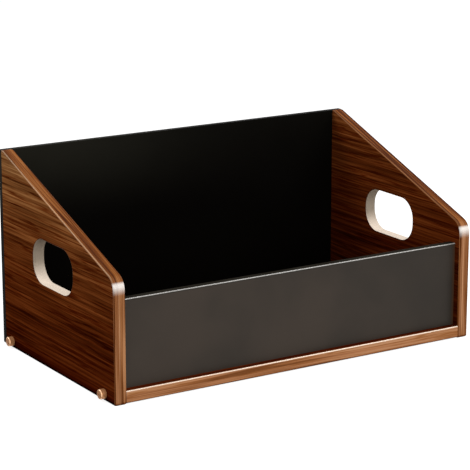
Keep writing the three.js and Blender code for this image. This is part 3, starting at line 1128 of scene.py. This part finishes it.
@dataclass(frozen=True)
class Station:
    """A place along an edge band.

    Attributes:
        run: How far along the band it is.
        glint: How much painted glint of the round corner shows there.
        slope: How much it belongs to the slope.
        point: The place on the band's outer surface, as (y, z).
        inward: How the place moves for each metre of depth in the band, as (y, z).
    """

    run: float
    glint: float
    slope: float
    point: Pair
    inward: Pair

    def place(self, depth: float) -> Pair:
        """The place at a depth in the band, as (y, z)."""
        return self.point[0] + depth * self.inward[0], self.point[1] + depth * self.inward[1]


@dataclass
class SidePanel:
    """A side panel with its edge band, hand-hole edging and foot strip.

    Left and right are as the stand's front is looked at. The amounts are marks for the band's finish.

    Attributes:
        corner_height: The height at which the slope would meet the front edge but for the round corner.
        top_flat: The length of the level stretch behind the slope.
        glint_runs: Runs past the corner's start between which the corner's painted glint grows and fades.
        glint_amounts: The painted glint at each of them.
        slope_start: How far past the corner the slope's look is full.
        streak_width: How far the pale line of painted highlight fades to each side.
        shadow_width: How far the strip of painted shadow inside the slope's outer arris reaches.
        shadow_fade: How far past it the strip fades.
        streak_rub: How much painted highlight the pale line has.
        rub_gloss: The gloss of an arris with full painted highlight.
        right_gloss: The gloss of the right arris.
        slope_depth: How much painted shade the slope has.
        right_depth: How much more its right arris has.
        front_left_depth: How much painted shade the front's left arris has.
        front_depth: How much painted shade the front has past the pale line.
        glue_share: The share of the edging's rounding that shows glue.
    """

    side: Side
    materials: Materials
    board_easing: float = 0.15 * MM
    corner_radius: float = 20 * MM
    corner_height: float = 160 * MM
    corner_steps: int = 24
    top_flat: float = 4 * MM
    band_thickness: float = 2 * MM
    band_rounding: float = 1.5 * MM
    band_steps: int = 5
    hole_radius: float = 27.5 * MM
    hole_steps: int = 12
    edging_thickness: float = 0.5 * MM
    edging_rounding: float = 0.2 * MM
    foot_corner: float = 2 * MM
    foot_steps: int = 4
    foot_rounding: float = 0.3 * MM
    fine_steps: int = 3
    glint_runs: tuple[float, ...] = (-8 * MM, -3 * MM, 0.0, 5.4 * MM, 8.9 * MM, 12.8 * MM)
    glint_amounts: tuple[float, ...] = (0.0, 0.26, 0.50, 1.0, 1.0, 0.0)
    slope_start: float = 4 * MM
    streak_width: float = 1.6 * MM
    shadow_width: float = 3.3 * MM
    shadow_fade: float = 0.99 * MM
    streak_rub: float = 0.10
    rub_gloss: float = 0.24
    right_gloss: float = 0.08
    slope_depth: float = 1.08
    right_depth: float = 0.6
    front_left_depth: float = 0.9
    front_depth: float = 0.35
    glue_share: float = 0.7

    def _glint(self, run: float) -> float:
        """How much of the corner's painted glint shows at a run past the corner's start.

        Args:
            run: The run, in metres.

        Returns:
            The amount, between the two given amounts that it lies between.
        """
        runs, amounts = self.glint_runs, self.glint_amounts
        for low, high, before, after in zip(runs, runs[1:], amounts, amounts[1:]):
            if low <= run < high:
                return before + (after - before) * (run - low) / (high - low)
        return 0.0

    def _stations(self, low: Vector, high: Vector) -> list[Station]:
        """The places along the band, from its floor end to its rear end.

        Args:
            low: The band's lowest corner.
            high: Its highest corner.

        Returns:
            The stations.
        """
        radius = self.corner_radius
        slope = math.atan2(high.z - self.corner_height, high.y - self.top_flat - low.y)
        centre_y = low.y + radius
        centre_z = self.corner_height + radius * (math.tan(slope) - 1 / math.cos(slope))
        sweep = math.pi / 2 - slope
        corner_start = centre_z - low.z
        corner_end = corner_start + radius * sweep

        def round_corner(turn: float, past: float = 0.0) -> tuple[Pair, Pair]:
            """A place round the corner, or past its end along the slope.

            Args:
                turn: How far it is round the corner, in radians.
                past: How far it is past the corner.

            Returns:
                The point and the way inward.
            """
            inward = (math.cos(turn), -math.sin(turn))
            y = centre_y - radius * inward[0] + past * math.cos(slope)
            z = centre_z - radius * inward[1] + past * math.sin(slope)
            return (y, z), inward

        stations = [Station(0.0, 0.0, 0.0, (low.y, low.z), (1.0, 0.0))]
        for run, glint in zip(self.glint_runs[:2], self.glint_amounts):
            stations.append(Station(corner_start + run, glint, 0.0, (low.y, centre_z + run), (1.0, 0.0)))
        for step in range(self.corner_steps + 1):
            share = step / self.corner_steps
            past_start = radius * sweep * share
            glint = self._glint(past_start)
            stations.append(Station(corner_start + past_start, glint, share, *round_corner(sweep * share)))
        full_slope = round_corner(sweep, self.slope_start)
        stations.append(Station(corner_end + self.slope_start, 0.0, 1.0, *full_slope))
        (_, corner_top), _ = round_corner(sweep)
        slope_length = (high.z - corner_top) / math.sin(slope)
        slope_top, _ = round_corner(sweep, slope_length)
        slope_end = corner_end + slope_length
        mitre = (math.tan(slope / 2), -1.0)
        stations.append(Station(slope_end, 0.0, 1.0, slope_top, mitre))
        stations.append(Station(slope_end + self.top_flat, 0.0, 1.0, (high.y, high.z), (0.0, -1.0)))
        return stations

    def _band_section(self, low_x: float, high_x: float) -> list[Pair]:
        """The band's section, as (x, depth in the band).

        Args:
            low_x: The band's lower edge in X.
            high_x: The band's upper edge in X.

        Returns:
            The closed ring of places.
        """
        r = self.band_rounding
        streak = WEAR[self.side].streak
        middle = high_x - streak if self.side is Side.RIGHT else low_x + streak
        ring = [(low_x, self.band_thickness)]
        ring.extend(arc((low_x + r, r), r, math.pi, 1.5 * math.pi, self.band_steps))
        ring.extend((middle + step * self.streak_width, 0.0) for step in (-1, 0, 1))
        ring.append((high_x - self.shadow_width - self.shadow_fade, 0.0))
        ring.append((high_x - self.shadow_width, 0.0))
        ring.extend(arc((high_x - r, r), r, 1.5 * math.pi, 2 * math.pi, self.band_steps))
        ring.append((high_x, self.band_thickness))
        return ring

    def _marks(self, across: float, width: float, depth: float, station: Station) -> Point:
        """How much painted highlight, gloss and painted shade the band has at one place.

        Args:
            across: How far the place is from the outer face.
            width: The band's width.
            depth: How deep it lies in the band.
            station: Where along the band it is.

        Returns:
            The three marks.
        """
        wear = WEAR[self.side]
        on_arris = 0.0 < depth < self.band_rounding
        in_left_half = (across < width / 2) is (self.side is Side.LEFT)
        left = float(on_arris and in_left_half)
        right = float(on_arris and not in_left_half)
        streak = max(0.0, 1.0 - abs(across - wear.streak) / self.streak_width)
        past_highlight_line = float(not in_left_half or across > wear.streak + self.streak_width)
        shadow = wear.shadow * float(across < self.shadow_width + self.shadow_fade / 2)
        slope = station.slope
        front = 1.0 - slope
        # Painted highlight on the slope's left arris and along the pale line down the front.
        slope_rub = slope * wear.slope_rub * left
        rubbed = slope_rub + front * self.streak_rub * streak
        # The corner's painted glint also sets the coat there.
        glossy = max(self.rub_gloss * slope_rub, self.right_gloss * right, station.glint)
        # Painted shade: on the slope, its right arris, the front's left arris, the front past the pale line,
        # and a painted shadow strip on the slope.
        painted_shade = max(
            slope * (self.slope_depth + self.right_depth * right - wear.slope_lift * left),
            slope * shadow,
            front * self.front_left_depth * left,
            front * self.front_depth * past_highlight_line,
        )
        return rubbed, glossy, painted_shade

    def build_band(self) -> None:
        """Sweeps the band's section over the front edge, the corner and the slope."""
        name = f"{self.side.word}_edge_band"
        low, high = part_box(name)
        outer = high.x if self.side is Side.RIGHT else low.x
        section = self._band_section(low.x, high.x)
        draft = MeshDraft()
        rings = []
        for station in self._stations(low, high):
            rings.append([(x, *station.place(depth)) for x, depth in section])
            for x, depth in section:
                draft.run.append((x, station.run, depth))
                draft.marks.append(self._marks(abs(x - outer), high.x - low.x, depth, station))
        draft.loft(rings)
        material = self.materials[f"band_{self.side.word}"]
        settle(draft.to_object(f"{name}_fine"), name, material)

    def build_edging(self) -> None:
        """Lofts the hand hole's edging: a ring with its four arrises eased."""
        name = f"{self.side.word}_hand_hole_edging"
        low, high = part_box(name)
        r = self.edging_rounding
        corners = (
            (low.x + r, r, math.pi),
            (high.x - r, r, 1.5 * math.pi),
            (high.x - r, self.edging_thickness - r, 0.0),
            (low.x + r, self.edging_thickness - r, math.pi / 2),
        )
        draft = MeshDraft()
        rings = []
        for corner_x, corner_grow, start in corners:
            for x, grow in arc((corner_x, corner_grow), r, start, start + math.pi / 2, self.fine_steps):
                inset = self.edging_thickness - grow
                hole_low = (low.y + inset, low.z + inset)
                hole_high = (high.y - inset, high.z - inset)
                outline = rounded_rectangle(hole_low, hole_high, self.hole_radius + grow, self.hole_steps)
                rings.append([(x, y, z) for y, z in outline])
                glued = float(min(x - low.x, high.x - x) < self.glue_share * r)
                draft.marks.extend([(glued, 0.0, 0.0)] * len(outline))
        draft.loft(rings, closed=True)
        settle(draft.to_object(f"{name}_fine"), name, self.materials["cream_edging"])

    def build_foot(self) -> None:
        """Lofts the foot strip, with its corners and its lower arris rounded."""
        name = f"{self.side.word}_foot_strip"
        low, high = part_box(name)
        r = self.foot_rounding
        levels = [(0.0, high.z)]
        for inset, rise in arc((r, r), r, math.pi, 1.5 * math.pi, self.fine_steps):
            levels.append((inset, low.z + rise))
        rings = []
        for inset, z in levels:
            foot_low = (low.x + inset, low.y + inset)
            foot_high = (high.x - inset, high.y - inset)
            outline = rounded_rectangle(foot_low, foot_high, self.foot_corner - inset, self.foot_steps)
            rings.append([(x, y, z) for x, y in outline])
        draft = MeshDraft()
        draft.loft(rings)
        settle(draft.to_object(f"{name}_fine"), name, self.materials["black_rubber"])

    def build(self) -> None:
        """Dresses the board and makes what is fixed to it."""
        word = self.side.word
        dress_node(f"{word}_side_panel", self.materials[f"walnut_{word}"], self.board_easing)
        self.build_band()
        self.build_edging()
        self.build_foot()


@dataclass
class BaseAndFront:
    """The base board and the front panel, each with its straight band.

    Attributes:
        base_arrises: The marks of the base band's arrises: lower front, lower rear, upper rear, upper front.
            An arris with none stays sharp.
        top_arrises: The same for the front panel's top band.
    """

    materials: Materials
    rounding: float = 1.5 * MM
    rounding_steps: int = 6
    # The base band's upper front arris gets painted highlight and glint, its lower front arris painted
    # shade; the top band's upper arrises get painted highlight.
    base_arrises: tuple[Point | None, ...] = ((0.0, 0.2, 1.0), None, None, (1.0, 0.8, 0.0))
    top_arrises: tuple[Point | None, ...] = (None, None, (0.12, 0.3, 0.0), (1.0, 1.0, 0.0))

    def _section(
        self, low: Vector, high: Vector, arrises: Sequence[Point | None]
    ) -> list[tuple[float, float, Point]]:
        """The section of a band that runs along X.

        Args:
            low: The band's lowest corner.
            high: Its highest corner.
            arrises: The marks of its four arrises. Each fades to both ends of its rounding.

        Returns:
            The closed ring, as (y, z, marks).
        """
        r = self.rounding
        corners = ((low.y, low.z), (high.y, low.z), (high.y, high.z), (low.y, high.z))
        ring = []
        for quarter, ((y, z), mark) in enumerate(zip(corners, arrises)):
            if mark is None:
                ring.append((y, z, NO_MARKS))
                continue
            centre_y = low.y + r if y == low.y else high.y - r
            centre_z = low.z + r if z == low.z else high.z - r
            start = math.pi + quarter * math.pi / 2
            points = arc((centre_y, centre_z), r, start, start + math.pi / 2, self.rounding_steps)
            for index, point in enumerate(points):
                share = math.sin(math.pi * index / self.rounding_steps)
                ring.append((*point, tuple(share * amount for amount in mark)))
        return ring

    def build_band(
        self, node: str, arrises: Sequence[Point | None], material: bpy.types.Material, slot: str
    ) -> None:
        """Makes a band that runs along X.

        Args:
            node: The CAD node that it replaces.
            arrises: The marks of its four arrises.
            material: Its finish.
            slot: Not used.
        """
        low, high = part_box(node)
        section = self._section(low, high, arrises)
        draft = MeshDraft()
        rings = []
        for x in (low.x, high.x):
            rings.append([(x, y, z) for y, z, _ in section])
            draft.run.extend((z, x, y) for y, z, _ in section)
            draft.marks.extend(mark for _, _, mark in section)
        draft.loft(rings)
        settle(draft.to_object(f"{node}_fine"), node, material)

    def build(self) -> None:
        """Dresses the two boards and makes their bands."""
        dress_node("base_board", self.materials["walnut_base"])
        dress_node("front_panel", self.materials["black_laminate"])
        self.build_band("base_edge_band", self.base_arrises, self.materials["band_base"], "walnut_band")
        black = self.materials["black_band"]
        self.build_band("front_panel_top_band", self.top_arrises, black, "black_laminate")


@dataclass
class BackPanel:
    """The back panel. The screws in its rear face are with the other fasteners."""

    materials: Materials

    def build(self) -> None:
        """Dresses the panel."""
        dress_node("back_panel", self.materials["black_back"])


@dataclass
class Fasteners:
    """Bolts with slotted heads, countersunk screws, barrel nuts and dowels.

    Attributes:
        head_foot: How far the head's lower rim is chamfered.
        slot_angle: How far the bolts are turned, in degrees.
        rim_slants: How far up a face of the head's rounding looks where the rim's painted highlight starts
            and ends.
        recess_reach: How long a screw's recess is against the head's radius.
        sharp_angle: Edges sharper than this stay sharp, in degrees.
    """

    materials: Materials
    head_radius: float = 6.5 * MM
    head_height: float = 8 * MM
    head_rounding: float = 2.2 * MM
    head_steps: int = 8
    head_foot: float = 0.4 * MM
    shank_radius: float = 3 * MM
    shank_chamfer: float = 0.8 * MM
    slot_width: float = 1.2 * MM
    slot_depth: float = 0.9 * MM
    slot_angle: float = 68.0
    slot_easing: float = 0.15 * MM
    rim_slants: Pair = (0.35, 0.88)
    bolt_sides: int = 64
    screw_tip: float = 0.05 * MM
    screw_point: float = 4 * MM
    screw_rim: float = 0.15 * MM
    screw_sides: int = 32
    recess_width: float = 0.9 * MM
    recess_depth: float = 1.1 * MM
    recess_reach: float = 1.1
    sharp_angle: float = 30.0
    nut_easing: float = 0.1 * MM

    def _mark_faces(self, piece: bpy.types.Object) -> None:
        """Marks the rim for a painted highlight and the end for painted shade, on a bolt that still stands
        upright.

        Args:
            piece: The bolt.
        """
        marks = piece.data.attributes.new(MARKS, "FLOAT_VECTOR", "FACE")
        turn = math.radians(self.slot_angle)
        steepest, flattest = self.rim_slants
        for face, mark in zip(piece.data.polygons, marks.data):
            x, y, z = face.center
            from_slot = abs(y * math.cos(turn) - x * math.sin(turn))
            on_end = z > self.head_height - self.head_rounding and face.normal.z > steepest
            beside_slot = from_slot > self.slot_width / 2 + self.slot_easing
            rim = on_end and beside_slot and face.normal.z < flattest
            mark.vector = (float(rim), float(on_end and not rim), 0.0)

    def build_bolt(self, side: Side, row: str) -> None:
        """Turns one bolt, cuts its slot and lays it in its bore.

        Args:
            side: The side panel that it goes through.
            row: front or rear.
        """
        name = f"{side.word}_{row}_bolt"
        low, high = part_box(name)
        shank = high.x - low.x - self.head_height
        r = self.head_rounding
        profile = [
            (self.shank_radius - self.shank_chamfer, -shank),
            (self.shank_radius, self.shank_chamfer - shank),
            (self.shank_radius, 0.0),
            (self.head_radius - self.head_foot, 0.0),
            (self.head_radius, self.head_foot),
            *arc((self.head_radius - r, self.head_height - r), r, 0.0, math.pi / 2, self.head_steps),
        ]
        piece = turned(profile, self.bolt_sides, f"{name}_fine")
        size = (4 * self.head_radius, self.slot_width, 2 * self.slot_depth)
        cut_away(piece, [block(size, self.head_height, math.radians(self.slot_angle))])
        ease(piece, self.slot_easing, segments=2, angle=50.0)
        apply_modifiers(piece)
        self._mark_faces(piece)
        outer = high.x if side is Side.RIGHT else low.x
        seat = Vector((outer - side.value * self.head_height, (low.y + high.y) / 2, (low.z + high.z) / 2))
        aim = Matrix.Rotation(side.value * math.pi / 2, 4, "Y")
        piece.data.transform(Matrix.Translation(seat) @ aim)
        settle(piece, name, self.materials["copper_lacquer"], self.sharp_angle)

    def build_screw(self, node: str, outward: Point, material: bpy.types.Material) -> None:
        """Turns one countersunk screw with a cross recess, its head flush with the face it is driven into.

        Args:
            node: The CAD node that it replaces.
            outward: The way the head faces.
            material: Its finish.
        """
        low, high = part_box(node)
        length = max(high - low)
        head = min(high - low) / 2
        shank = head / 2
        rim = head - self.screw_rim
        profile = [
            (self.screw_tip, -length),
            (shank, self.screw_point - length),
            (shank, shank - head),
            (rim, -self.screw_rim),
            (rim, 0.0),
        ]
        piece = turned(profile, self.screw_sides, f"{node}_fine")
        size = (self.recess_reach * head, self.recess_width, 2 * self.recess_depth)
        cut_away(piece, [block(size, 0.0, angle) for angle in (0.0, math.pi / 2)])
        face = (low + high) / 2 + Vector(outward) * (length / 2)
        aim = Vector(outward).to_track_quat("Z", "Y").to_matrix().to_4x4()
        piece.data.transform(Matrix.Translation(face) @ aim)
        settle(piece, node, material, self.sharp_angle)

    def build(self) -> None:
        """Makes every bolt and screw, and dresses the nuts and dowels."""
        beech, zinc, black = (self.materials[name] for name in ("raw_beech", "zinc_plate", "black_steel"))
        behind, below = (0.0, 1.0, 0.0), (0.0, 0.0, -1.0)
        for side in Side:
            for row in ("front", "rear"):
                self.build_bolt(side, row)
                dress_node(f"{side.word}_{row}_barrel_nut", zinc, self.nut_easing)
                dress_node(f"{side.word}_{row}_base_dowel", beech)
            for row in ("lower", "upper"):
                dress_node(f"{side.word}_{row}_front_panel_dowel", beech)
            for row in ("lower", "middle", "upper"):
                self.build_screw(f"back_panel_{side.word}_{row}_screw", behind, black)
        for column in ("left", "middle", "right"):
            self.build_screw(f"back_panel_base_{column}_screw", behind, black)
            self.build_screw(f"front_panel_{column}_screw", below, zinc)


# ---- Studio and camera -------------------------------------------


@dataclass(frozen=True)
class Softbox:
    """A rectangular studio light."""

    name: str
    place: Point
    target: Point
    size: Pair
    radiance: float

    def light(self) -> None:
        """Hangs the light and aims it."""
        data = bpy.data.lights.new(self.name, "AREA")
        data.shape = "RECTANGLE"
        data.size, data.size_y = self.size
        data.energy = self.radiance * math.pi * self.size[0] * self.size[1]
        lamp = bpy.data.objects.new(self.name, data)
        lamp.location = self.place
        aim = Vector(self.target) - Vector(self.place)
        lamp.rotation_euler = aim.to_track_quat("-Z", "Y").to_euler()
        bpy.context.scene.collection.objects.link(lamp)


@dataclass(frozen=True)
class Studio:
    """A white room: a wide floor, an even sky and softboxes.

    Attributes:
        floor_half: How far the floor reaches from the stand, in metres.
        floor_glow: How much the floor glows where it is seen, so that it shows as white.
        sky_level: How strong the sky is as a light. Where it is seen it is white.
    """

    floor_half: float = 9.0
    floor_colour: Colour = (0.42, 0.42, 0.42)
    floor_glow: float = 0.79
    sky_level: float = 0.52
    boxes: tuple[Softbox, ...] = (
        Softbox("front_box", (-0.5, -2.9, 1.15), (0.0, 0.0, 0.12), size=(1.8, 1.2), radiance=6.5),
        Softbox("top_right_box", (1.15, -0.55, 1.95), (0.0, 0.0, 0.12), size=(0.6, 1.3), radiance=9.0),
        Softbox("rear_left_box", (-1.20, 1.05, 1.70), (0.0, 0.0, 0.15), size=(0.9, 0.5), radiance=11.0),
    )

    @staticmethod
    def _seen_directly(graph: Graph) -> Signal:
        """1 where the camera, a reflection or a view through glass sees a surface, and 0 elsewhere.

        Args:
            graph: The graph of the floor or the sky.

        Returns:
            The mask.
        """
        path = graph.node("ShaderNodeLightPath")
        camera, glossy, through = (
            Signal(graph, path.outputs[f"Is {ray} Ray"]) for ray in ("Camera", "Glossy", "Transmission")
        )
        return camera.larger(glossy).larger(through)

    def build_floor(self) -> None:
        """Lays the floor. It shows as white and keeps the soft shadow."""
        reach = self.floor_half
        mesh = bpy.data.meshes.new("studio_floor")
        corners = [(-reach, -reach, 0.0), (reach, -reach, 0.0), (reach, reach, 0.0), (-reach, reach, 0.0)]
        mesh.from_pydata(corners, [], [(0, 1, 2, 3)])
        floor = bpy.data.objects.new("studio_floor", mesh)
        bpy.context.scene.collection.objects.link(floor)
        material = bpy.data.materials.new("studio_floor")
        material.use_nodes = True
        graph = Graph(material.node_tree)
        matt = graph.node("ShaderNodeBsdfDiffuse", {}, {"Color": (*self.floor_colour, 1.0)})
        strength = self._seen_directly(graph) * self.floor_glow
        glow = graph.node("ShaderNodeEmission", {}, {"Color": WHITE, "Strength": strength})
        both = graph.node("ShaderNodeAddShader", {}, {0: matt.outputs[0], 1: glow.outputs[0]})
        graph.node("ShaderNodeOutputMaterial", {}, {"Surface": both.outputs[0]})
        mesh.materials.append(material)

    def build_sky(self) -> None:
        """Makes the sky: white where it is seen, and softer as a light."""
        world = bpy.data.worlds.new("studio_sky")
        world.use_nodes = True
        bpy.context.scene.world = world
        graph = Graph(world.node_tree)
        strength = self._seen_directly(graph).blend(self.sky_level, 1.0)
        sky = graph.node("ShaderNodeBackground", {}, {"Color": WHITE, "Strength": strength})
        graph.node("ShaderNodeOutputWorld", {}, {"Surface": sky.outputs[0]})

    def build(self) -> None:
        """Builds the room and sets the plain colour view."""
        self.build_floor()
        self.build_sky()
        for box in self.boxes:
            box.light()
        bpy.context.scene.view_settings.view_transform = "Standard"
        LOG.info("lit the studio with %d softboxes", len(self.boxes))


@dataclass(frozen=True)
class ViewCamera:
    """The camera: to the left of the front, a little above, with a long lens and no shift.

    Attributes:
        azimuth: How far it looks to the right of straight ahead, in degrees.
        elevation: How far it looks down, in degrees.
        focal_pixels: The focal length against the picture's width in pixels.
        clip: The nearest and the farthest distance that it shows.
    """

    place: Point = (-1.3934, -2.2117, 0.8156)
    azimuth: float = 32.17
    elevation: float = 14.35
    focal_pixels: float = 2000.0
    image_pixels: float = 470.0
    sensor: float = 36.0
    clip: Pair = (0.05, 60.0)

    def build(self) -> None:
        """Makes the camera and gives it to the scene."""
        data = bpy.data.cameras.new("view_camera")
        data.sensor_width = self.sensor
        data.lens = self.sensor * self.focal_pixels / self.image_pixels
        data.clip_start, data.clip_end = self.clip
        camera = bpy.data.objects.new("view_camera", data)
        camera.location = self.place
        camera.rotation_euler = (math.radians(90.0 - self.elevation), 0.0, -math.radians(self.azimuth))
        bpy.context.scene.collection.objects.link(camera)
        bpy.context.scene.camera = camera
        LOG.info("set the camera at %s", self.place)


def main() -> None:
    """Builds the camera, the stand and the studio, in that order."""
    logging.basicConfig(level=logging.INFO, format="%(name)s: %(message)s")
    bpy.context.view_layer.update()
    ViewCamera().build()
    materials = {finish.name: finish.material() for finish in FINISHES}
    for side in Side:
        SidePanel(side, materials).build()
    BaseAndFront(materials).build()
    BackPanel(materials).build()
    Fasteners(materials).build()
    Studio().build()
    bpy.context.view_layer.update()


if __name__ == "__main__":
    main()
